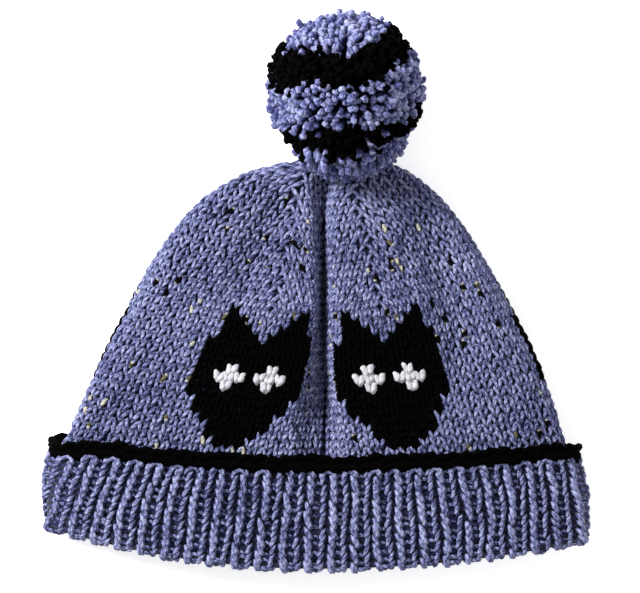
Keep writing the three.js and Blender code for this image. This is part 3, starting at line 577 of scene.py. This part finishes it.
def purl_material(name, code, dark, across, along):
    """Knitting seen from its wrong side: rows of yarn bumps, each half a turn of yarn, drawn from the
    piece's own UVs, with across and along bumps over the whole piece. Its colour runs from the bumps' own
    to a darker one between them, painted shade in the hollows."""
    material = bpy.data.materials.new(name)
    material.use_nodes = True
    tree = material.node_tree
    tree.nodes.clear()
    uv = add_node(tree, "ShaderNodeUVMap", {"uv_map": "yarn"})
    split = add_node(tree, "ShaderNodeSeparateXYZ", links={"Vector": uv.outputs["UV"]})
    row = add_node(tree, "ShaderNodeMath", {"operation": "MULTIPLY", 1: 2 * math.pi * along},
                   {0: split.outputs["X"]})
    column = add_node(tree, "ShaderNodeMath", {"operation": "MULTIPLY", 1: 2 * math.pi * across},
                      {0: split.outputs["Y"]})
    bend = add_node(tree, "ShaderNodeMath", {"operation": "COSINE"}, {0: column.outputs[0]})
    bent = add_node(tree, "ShaderNodeMath", {"operation": "MULTIPLY_ADD", 1: 0.9},
                    {0: bend.outputs[0], 2: row.outputs[0]})
    ridge = add_node(tree, "ShaderNodeMath", {"operation": "SINE"}, {0: bent.outputs[0]})
    level = add_node(tree, "ShaderNodeMath", {"operation": "MULTIPLY_ADD", 1: 0.5, 2: 0.5},
                     {0: ridge.outputs[0]})
    # painted shade: the colour falls to the darker one where the bumps dip
    ramp = add_node(tree, "ShaderNodeValToRGB", links={"Fac": level.outputs[0]})
    colour_stops(ramp, [(0.1, dark), (0.9, code)])
    bumped = add_node(tree, "ShaderNodeBump", {"Strength": 0.8, "Distance": 0.0012},
                      {"Height": level.outputs[0]})
    skin = add_node(tree, "ShaderNodeBsdfPrincipled",
                    {"Roughness": 0.95, "Specular IOR Level": 0.2, "Sheen Weight": 0.15},
                    {"Base Color": ramp.outputs["Color"], "Normal": bumped.outputs["Normal"]})
    add_node(tree, "ShaderNodeOutputMaterial", links={"Surface": skin.outputs[0]})
    return material


# painted shade: the wrong side's blue, and the darker blue between its bumps, are far darker than the yarn;
# they stand for the shade inside the hat and in the gaps between the legs
crown_inside.data.materials.append(purl_material("blue_wool_wrong_side_painted_shade", "#282b50", "#090a1a", 100, 84))
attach(crown_inside, "root")
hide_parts("crown")

# The cuff: knit one, purl one ribbing in the same yarn, turned up once round the mouth. 50 columns of knit
# stitches stand proud, their two legs apart like cords, and a purl column lies low between each two.
RIB_COUNT, RIB_ROWS, RIB_WALL = 50, 21, 3.8
MOUTH_ROW, MOUTH_SPREAD = 0.58, 0.09   # where the mouth's turn lies on the cuff's grid
FOLD_WIDTH = 0.022   # how far round the side folds reach, as a share of the round
TURN_RADIUS = RIB_WALL + LAYER_GAP / 2
TURN_AT = TURN_RADIUS / HAT_LENGTH


def cuff_faces_grid():
    """The cuff's whole face as one strip: down outside from the edge, round the mouth in a half turn,
    and up inside to the crown."""
    down = np.linspace(CUFF_TOP + 0.004, TURN_AT, 60)
    up = np.linspace(TURN_AT, CROWN_START - 0.002, 36)
    base_down = even_rounds(hat_rounds(down, False), AROUND)
    base_up = even_rounds(hat_rounds(up), AROUND)
    out_down, out_up = outwards(base_down, -1), outwards(base_up)
    rows = [base_down + out_down * (LAYER_GAP + RIB_WALL)]
    turn = np.linspace(np.pi, 0, 18)[1:-1, None, None]
    at_turn, out_turn = base_down[-1:], out_down[-1:]
    bend = at_turn + out_turn * (LAYER_GAP / 2 - TURN_RADIUS * np.cos(turn))
    bend[..., 1] -= (TURN_RADIUS * np.sin(turn))[..., 0]
    rows += [bend, base_up - out_up * RIB_WALL]
    grid = np.concatenate(rows)
    step = np.linalg.norm(np.diff(grid, axis=0), axis=2).mean(1)
    run = np.concatenate([[0], np.cumsum(step)])
    even = np.linspace(0, run[-1], 200)
    index = np.interp(even, run, np.arange(len(run)))
    low = np.minimum(index.astype(int), len(grid) - 2)
    part = (index - low)[:, None, None]
    return grid[low] * (1 - part) + grid[low + 1] * part


cuff_grid = cuff_faces_grid()
cuff_out = outwards(cuff_grid, -1)
RIB_LEG_UP = np.array([1.0, 0.72, 0.42, 0.12, -0.16, -0.4])


def corners(share, width):
    """How near a place on the round is to one of the hat's two side folds: 1 there, falling away on
    both sides like a bell as wide as the width."""
    return np.exp(-((share % 0.5 - 0.25) / width) ** 2)


def sagged(share, row):
    """A row of the cuff's grid, moved towards the mouth round the side folds: 0.05 at the cuff's top,
    falling to nothing at row 0.35."""
    return row + 0.05 * corners(share, FOLD_WIDTH) * np.clip(1 - row / 0.35, 0, 1)


def rib_place(across, row):
    """A share of the round and a row of the cuff's grid: the ribs wander a little, and fan out at
    both sides from the edge down to the mouth, more so on the left. Their tops sag at the side folds."""
    share = across / RIB_COUNT
    row = sagged(share, row)
    fan = np.sin(2 * np.pi * share) * np.where(share % 1 < .5, .006, .02) * np.minimum(row / .55, 1)
    wander = .0012 * np.sin(9 * row + 40 * share) + .0006 * np.sin(23 * row + 171 * share)
    return share + fan + wander, row


def yarn_on_cuff(share, row, off, radius, sides):
    """Tubes of yarn whose lines are laid on the cuff's face and moved outwards by off."""
    path = on_grid(cuff_grid, cuff_out, share, row, off)
    lifted = on_grid(cuff_grid, cuff_out, share, row, off + 1.0)
    return tube_points(path, radius, lifted - path, sides)


def rib_legs(columns, rows, across, out, radius):
    """One leg of each knit stitch in the ribs: it starts by the column's middle under the stitch
    before, swings out to its side and runs on almost straight."""
    across = np.asarray(across)[None, :]
    wobble = rng.normal(0, 1, (len(columns), 3))
    row = (rows[:, None] + 0.5 - RIB_LEG_UP[None, :] + 0.1 * wobble[:, 1:2]) / RIB_ROWS
    share, row = rib_place(columns[:, None] + across + 0.022 * wobble[:, :1], row)
    sway = 0.12 * np.sin(rows[:, None] * 1.7 + columns[:, None])
    off = np.asarray(out)[None, :] + 0.2 * wobble[:, 2:3] + sway
    size = np.asarray(radius)[None, :] * (1 + 0.1 * rng.normal(0, 1, share.shape))
    return yarn_on_cuff(share, row, off, size, LEG_SIDES)


columns, rib_row = (a.ravel().astype(float) for a in np.meshgrid(np.arange(RIB_COUNT), np.arange(RIB_ROWS)))
left_legs = rib_legs(columns, rib_row, [-.10, -.17, -.22, -.26, -.28, -.27],
                     [-2.6, -1.5, -.9, -.75, -1.0, -2.0], [.55, .82, .95, .98, .9, .65])
right_legs = rib_legs(columns, rib_row, [.09, .16, .22, .28, .31, .29],
                      [-2.3, -1.1, -.45, -.35, -.8, -1.9], [.75, 1.12, 1.3, 1.34, 1.2, .8])
points = np.concatenate([left_legs, right_legs])
# painted light: the cuff's legs take paler shades (0.48 to 0.72) than the crown's, for more light on the cuff
cuff_ribs = make_piece("cuff_ribs", points, *LEG_FACES,
                       leg_values(len(points), points.shape[1], 0.016, 0.48, 0.72))
cuff_ribs.data.materials.append(blue_tweed)

# the purl bumps between the ribs, lying across
PURL_ACROSS = np.array([-.26, -.14, 0.0, .14, .26])
PURL_OUT = np.array([-3.2, -2.5, -2.1, -2.5, -3.2])
wobble = rng.normal(0, 1, (len(columns), 1))
row = (rib_row[:, None] + 0.5 + 0.2 * wobble + 0.35 * (PURL_ACROSS[None, :] / .26) ** 2) / RIB_ROWS
at_mouth = np.exp(-((row - MOUTH_ROW) / MOUTH_SPREAD) ** 2)
off = PURL_OUT[None, :] + 1.8 * at_mouth + 1.0 * corners((columns[:, None] + 0.5) / RIB_COUNT, 0.02)
off = off + 0.3 * rng.normal(0, 1, (len(columns), 1))
share, row = rib_place(columns[:, None] + 0.5 + PURL_ACROSS[None, :], row)
points = yarn_on_cuff(share, row, off, np.array([.7, .95, 1.05, .95, .7])[None, :] + 0 * row, 5)
# painted shade: the purls, which lie low between the ribs, take darker shades than the rib legs, and a little
# paler ones round the mouth's turn, where they come up to the face
cuff_purls = make_piece("cuff_purls", points, *tube_faces(5, 5), {
    "shade": rng.uniform(0.24, 0.5, (len(points), 1)) + 0.12 * at_mouth[:, 2:3], "fleck": 0.0})
cuff_purls.data.materials.append(blue_tweed)

# the arches that join the two legs of every rib under the edge
column = np.arange(RIB_COUNT)[:, None] + 0.05 * rng.normal(0, 1, (RIB_COUNT, 1))
share, row = rib_place(column + np.array([-.27, -.22, -.1, .02, .14, .26, .3])[None, :],
                       (np.array([1.0, .45, .12, .02, .12, .45, 1.0])[None, :] + 0 * column) / RIB_ROWS)
off = np.array([-1.2, -.7, -.5, -.4, -.5, -.7, -1.2])[None, :] + 0 * share
points = yarn_on_cuff(share, row, off, np.array([.8, 1.0, 1.1, 1.1, 1.1, 1.0, .8])[None, :] + 0 * share,
                      LEG_SIDES)
cuff_arches = make_piece("cuff_arches", points, *tube_faces(7, LEG_SIDES),
                         {"shade": rng.uniform(0.4, 0.6, (len(points), 1)), "fleck": 0.0})
cuff_arches.data.materials.append(blue_tweed)


def cuff_core():
    """The cuff's ground behind its legs: a closed band 2.4 mm under the face, less at the mouth's turn
    and at the side folds outside, and its back, where the cuff's two layers lie against each other. Its
    top sags with the ribs."""
    share = np.linspace(0, 1, SHELL_SIDES + 1)[:-1][None, :]
    row = np.linspace(0, 1, 60)[:, None]
    sunk = -2.4 + 1.0 * np.exp(-((row - MOUTH_ROW) / MOUTH_SPREAD) ** 2)
    sunk = sunk + 0.9 * corners(share, 0.02) * (row < 0.53)
    row = sagged(share, row)
    face = on_grid(cuff_grid, cuff_out, share + 0 * row, row, sunk)
    back = on_grid(cuff_grid, cuff_out, share + 0 * row, row, 0.15 - RIB_WALL + 0 * row)
    return np.concatenate([face, back[::-1], face[:1]])


rings = cuff_core()
quads, quad_uv = band_faces(len(rings), SHELL_SIDES, flip=True)
quads = quads % ((len(rings) - 1) * SHELL_SIDES)   # the last ring is the first again
cuff_inside = make_piece("cuff_ground", rings[:-1].reshape(1, -1, 3), quads, None, quad_uv, None,
                         {"shade": 0.0, "fleck": 0.0})
# painted shade: the rib ground's blue, and the darker blue between its bumps, are far darker than the yarn;
# they stand for the shade behind and between the ribs
cuff_inside.data.materials.append(purl_material("blue_wool_rib_ground_painted_shade", "#25284c", "#0a0b18", 100, 44))
for piece in (cuff_ribs, cuff_purls, cuff_arches, cuff_inside):
    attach(piece, "root")
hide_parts("cuff")

# The cast-on edge: the first row of the knitting, cast on in black. A plump braid of loops lies along the
# top of the turned-up cuff, over a core of the same yarn.
EDGE_LOOPS = 84
EDGE_MIDDLE = LAYER_GAP + EDGE_THICKNESS / 2
CORE_SIDES = 10
edge_base = even_rounds(hat_rounds(np.linspace(CUFF_TOP - 0.012, CUFF_TOP + 0.012, 7), False), AROUND)
edge_out = outwards(edge_base)


def on_edge(share, ahead, off):
    """A point on the edge: off the hat's face at the cuff's top, and ahead of it along the hat. The
    edge sags towards the mouth round the hat's side folds."""
    p = on_grid(edge_base, edge_out, share, 0.5 + 0 * share, off - 1.3 * corners(share, 0.02))
    p[..., 1] += ahead - 5.0 * corners(share, FOLD_WIDTH)
    return p


def braid(side):
    """One row of the braid's loops: each leg starts in the braid's middle, swells over its side and
    dives under the next loop."""
    n = np.arange(EDGE_LOOPS)[:, None]
    u = np.array([-.35, .05, .5, .95, 1.3])[None, :]
    wobble = rng.normal(0, 1, (EDGE_LOOPS, 2))
    share = (n + u + 0.25 * (side > 0) + .06 * wobble[:, :1]) / EDGE_LOOPS
    ahead = 0.9 + EDGE_HEIGHT / 2 + side * np.array([.3, 1.5, 2.5, 2.1, .6])[None, :] + .5 * wobble[:, 1:]
    off = EDGE_MIDDLE + np.array([.9, 1.6, 1.4, 1.0, .2])[None, :] + 0 * share
    lifted = on_edge(share, ahead, off + 1.0)
    path = on_edge(share, ahead, off)
    radius = np.array([.8, 1.45, 1.75, 1.5, .9])[None, :] * (1 + .12 * rng.normal(0, 1, share.shape))
    return tube_points(path, radius, lifted - path, LEG_SIDES)


points = np.concatenate([braid(1), braid(-1)])
edge_braid = make_piece("cast_on_braid", points, *tube_faces(5, LEG_SIDES),
                        {"shade": rng.uniform(0, .3, (len(points), 1)), "fleck": 0.0})
turn = 2 * np.pi * np.arange(CORE_SIDES) / CORE_SIDES
core_share, core_turn = np.meshgrid(np.linspace(0, 1, SHELL_SIDES + 1)[:-1], turn, indexing="ij")
core_ahead = EDGE_HEIGHT / 2 - 0.5 + 3.7 * np.sin(core_turn)
core = on_edge(core_share, core_ahead, EDGE_MIDDLE - 0.4 + 2.3 * np.cos(core_turn))
quads, quad_uv = band_faces(SHELL_SIDES + 1, CORE_SIDES)
quads = quads % (SHELL_SIDES * CORE_SIDES)
edge_core = make_piece("cast_on_core", core.reshape(1, -1, 3), quads, None, quad_uv, None,
                       {"shade": 0.1, "fleck": 0.0})
for piece in (edge_braid, edge_core):
    piece.data.materials.append(black_wool)
    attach(piece, "root")
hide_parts("cast_on_edge")

# The pompom: a ball of cut yarn ends, wound in bands of blue and black, tied through its middle and clipped
# round. The ends stand out from the heart and spread into soft tufts.
POMPOM_RADIUS = 37.0
POMPOM_TILT, POMPOM_TURN = 14.0, 5.0
POMPOM_MIDDLE = np.array([13.8, 220.33, 35.2])
BANDS = [("foot", -41), ("lower_band", -22), ("middle", 14), ("upper_band", 43), ("cap", 90)]
YARN_ENDS, END_RINGS, END_SIDES, END_START = 2400, 5, 7, 25.0
HEART_RADIUS, HEART_ROWS, HEART_SIDES = 30.0, 29, 48
tilt, turned = math.radians(POMPOM_TILT), math.radians(POMPOM_TURN)
about_x = np.array([[1, 0, 0], [0, math.cos(tilt), -math.sin(tilt)], [0, math.sin(tilt), math.cos(tilt)]])
about_z = np.array([[math.cos(turned), -math.sin(turned), 0], [math.sin(turned), math.cos(turned), 0],
                    [0, 0, 1]])
POMPOM_STAND = about_z @ about_x


def ball_ends():
    """Directions of the yarn ends: a spiral of equal areas on the ball, each nudged at random. The
    ball's axis is Y, from its foot on the crown to its top."""
    k = np.arange(YARN_ENDS) + 0.5
    y = 1 - 2 * k / YARN_ENDS
    around = k * math.pi * (3 - math.sqrt(5))
    r = np.sqrt(1 - y**2)
    way = np.stack([r * np.cos(around), y, r * np.sin(around)], 1) + rng.normal(0, 0.035, (YARN_ENDS, 3))
    return way / np.linalg.norm(way, axis=1, keepdims=True)


def soft_noise(way, seed, scale):
    """Smooth random numbers on the ball: a few sines in random directions."""
    dice = np.random.default_rng(seed)
    axes = dice.normal(0, scale, (7, 3))
    return np.sin(way @ axes.T + dice.uniform(0, 6.28, 7)).mean(1) * 1.6


def yarn_ends(way):
    """Tubes from the heart to the ball's face: each leans a little off its own direction and swells
    into a blunt, ragged tuft at its end. Those round the foot reach 5 mm further, over the crown's tip."""
    reach = POMPOM_RADIUS - 2.0 + 0.8 * soft_noise(way, 5, 3.0) + rng.normal(0, 1.0, len(way))
    tufts = np.stack([soft_noise(way, seed, 20.0) for seed in (1, 2, 3)], 1)
    lean = rng.normal(0, 0.10, (len(way), 3)) + 0.16 * tufts
    t = np.array([0.0, .45, .72, .9, 1.0])[None, :, None]
    length = (reach - END_START)[:, None, None]
    path = way[:, None] * END_START + (way[:, None] + lean[:, None] * t) * length * t
    path = path * (reach[:, None, None] / np.maximum(np.linalg.norm(path[:, -1:], axis=2, keepdims=True), 1))
    path[..., 1] -= 5.0 * np.clip((-way[:, 1:2] - 0.6) / 0.25, 0, 1) * t[..., 0] ** 2
    uneven = 1 + 0.14 * rng.normal(0, 1, (len(way), END_RINGS))
    size = np.array([0.9, 1.15, 1.4, 1.5, 1.2])[None, :] * uneven
    up = np.cross(way, [0.3, 0.5, 0.8])[:, None] + 0 * path
    points = tube_points(path @ POMPOM_STAND.T + POMPOM_MIDDLE, size, up @ POMPOM_STAND.T, END_SIDES)
    ragged = points[:, 2 * END_SIDES:]
    ragged += rng.normal(0, 0.28, ragged.shape)
    return points


way = ball_ends()
latitude = np.degrees(np.arcsin(np.clip(way[:, 1], -1, 1))) + 4.5 * soft_noise(way, 8, 3.5)
latitude = latitude + rng.normal(0, 3, len(way))
latitude -= 14 * np.clip(way[:, 0] - 0.25, 0, 1)   # the bands climb on the ball's right
latitude += 7 * np.clip(-way[:, 0] - 0.3, 0, 1)   # and sink a little on its left
band = np.searchsorted([until for _, until in BANDS[:-1]], latitude)
points = yarn_ends(way)
points[..., 2] = np.maximum(points[..., 2], 0.2)
END_FACES = tube_faces(END_RINGS, END_SIDES)
CUT_TONES = [(0.0, "#14163a"), (0.35, "#3d4070"), (0.6, "#666a9c"), (1.0, "#a6aacb")]
pale_tweed = wool_material("blue_tweed_wool_cut_ends", CUT_TONES, False, 1.5, 0.9, 0.03)
# painted shade and light: each end is darker deep in the ball, where shade falls between the ends, and paler
# towards its tip, where the light falls
END_PAINTED_SHADE_AND_LIGHT = np.append(np.repeat([-.3, -.2, -.08, .08, .2], END_SIDES), [-.3, .25])[None, :]
for k, (name, _) in enumerate(BANDS):
    chosen = points[band == k]
    dark = "band" in name
    piece = make_piece("pompom_" + name + "_ends", chosen, *END_FACES,
                       {"shade": rng.uniform(.25, .65, (len(chosen), 1)) + END_PAINTED_SHADE_AND_LIGHT, "fleck": 0.0})
    piece.data.materials.append(black_wool if dark else pale_tweed)
    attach(piece, "root")
    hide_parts("pompom_" + name)

# The ball's heart, where the yarns are packed: it shows only as shadow between the ends.
lat, lon = np.meshgrid(np.radians(np.linspace(-84, 84, HEART_ROWS)),
                       2 * np.pi * np.arange(HEART_SIDES) / HEART_SIDES, indexing="ij")
heart = HEART_RADIUS * np.stack([np.cos(lat) * np.cos(lon), np.sin(lat), np.cos(lat) * np.sin(lon)], -1)
poles = np.array([[0, -HEART_RADIUS, 0], [0, HEART_RADIUS, 0]])
ball = np.concatenate([heart.reshape(-1, 3), poles]) @ POMPOM_STAND.T + POMPOM_MIDDLE
ball[:, 2] = np.maximum(ball[:, 2], 3.0)
quads, quad_uv = band_faces(HEART_ROWS, HEART_SIDES, flip=True)
fans = pole_fans(HEART_ROWS, HEART_SIDES, flip=True)
pompom_heart = make_piece("pompom_heart", ball[None], quads, fans, quad_uv, np.zeros((len(fans), 3, 2)),
                          {"shade": 0.0, "fleck": 0.0})
# painted shade: the heart takes the black wool all round, so that it reads as the shade between the ends
pompom_heart.data.materials.append(black_wool)
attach(pompom_heart, "root")

# Floor, light and camera: a sheet of white paper, lit a little from below so that it stays white, under
# soft light from the upper left, and the camera straight over the hat.
floor_mesh = bpy.data.meshes.new("floor")
FLOOR_REACH = 4.0
floor_corners = [(x * FLOOR_REACH, y * FLOOR_REACH, 0) for x, y in ((-1, -1), (1, -1), (1, 1), (-1, 1))]
floor_mesh.from_pydata(floor_corners, [], [(0, 1, 2, 3)])
floor = bpy.data.objects.new("floor", floor_mesh)
bpy.context.scene.collection.objects.link(floor)
paper = bpy.data.materials.new("white_backlit_paper")
paper.use_nodes = True
for key, value in (("Base Color", hex_colour("#fcfcfc")), ("Roughness", 0.9),
                   ("Emission Color", hex_colour("#ffffff")), ("Emission Strength", 0.5)):
    paper.node_tree.nodes["Principled BSDF"].inputs[key].default_value = value
floor_mesh.materials.append(paper)

world = bpy.data.worlds.new("studio")
bpy.context.scene.world = world
world.use_nodes = True
world.node_tree.nodes["Background"].inputs["Color"].default_value = hex_colour("#ffffff")
world.node_tree.nodes["Background"].inputs["Strength"].default_value = 0.46
LAMPS = [("key", (-1.25, 0.75, 1.15), 0.7, 79.0), ("fill", (1.1, -0.2, 1.4), 1.4, 9.0)]
for name, place, size, power in LAMPS:
    lamp = bpy.data.lights.new(name, "AREA")
    lamp.size, lamp.energy = size, power
    light = bpy.data.objects.new(name, lamp)
    light.location = place
    way_down = np.array([0, 0, 0.02]) - np.array(place)
    light.rotation_euler = (math.acos(-way_down[2] / np.linalg.norm(way_down)), 0,
                            math.atan2(way_down[1], way_down[0]) - math.pi / 2)
    bpy.context.scene.collection.objects.link(light)

lens = bpy.data.cameras.new("camera")
CAMERA_HEIGHT, FRAME_WIDTH = 2.0, 0.2944
lens.sensor_width = 36.0
lens.lens = 36.0 * (CAMERA_HEIGHT - 0.02) / FRAME_WIDTH
camera = bpy.data.objects.new("camera", lens)
camera.location = (0.0014, -0.0012, CAMERA_HEIGHT)
bpy.context.scene.collection.objects.link(camera)
bpy.context.scene.camera = camera
# plain display colours, so white paper is white
bpy.context.scene.view_settings.view_transform = "Standard"

bpy.context.view_layer.update()
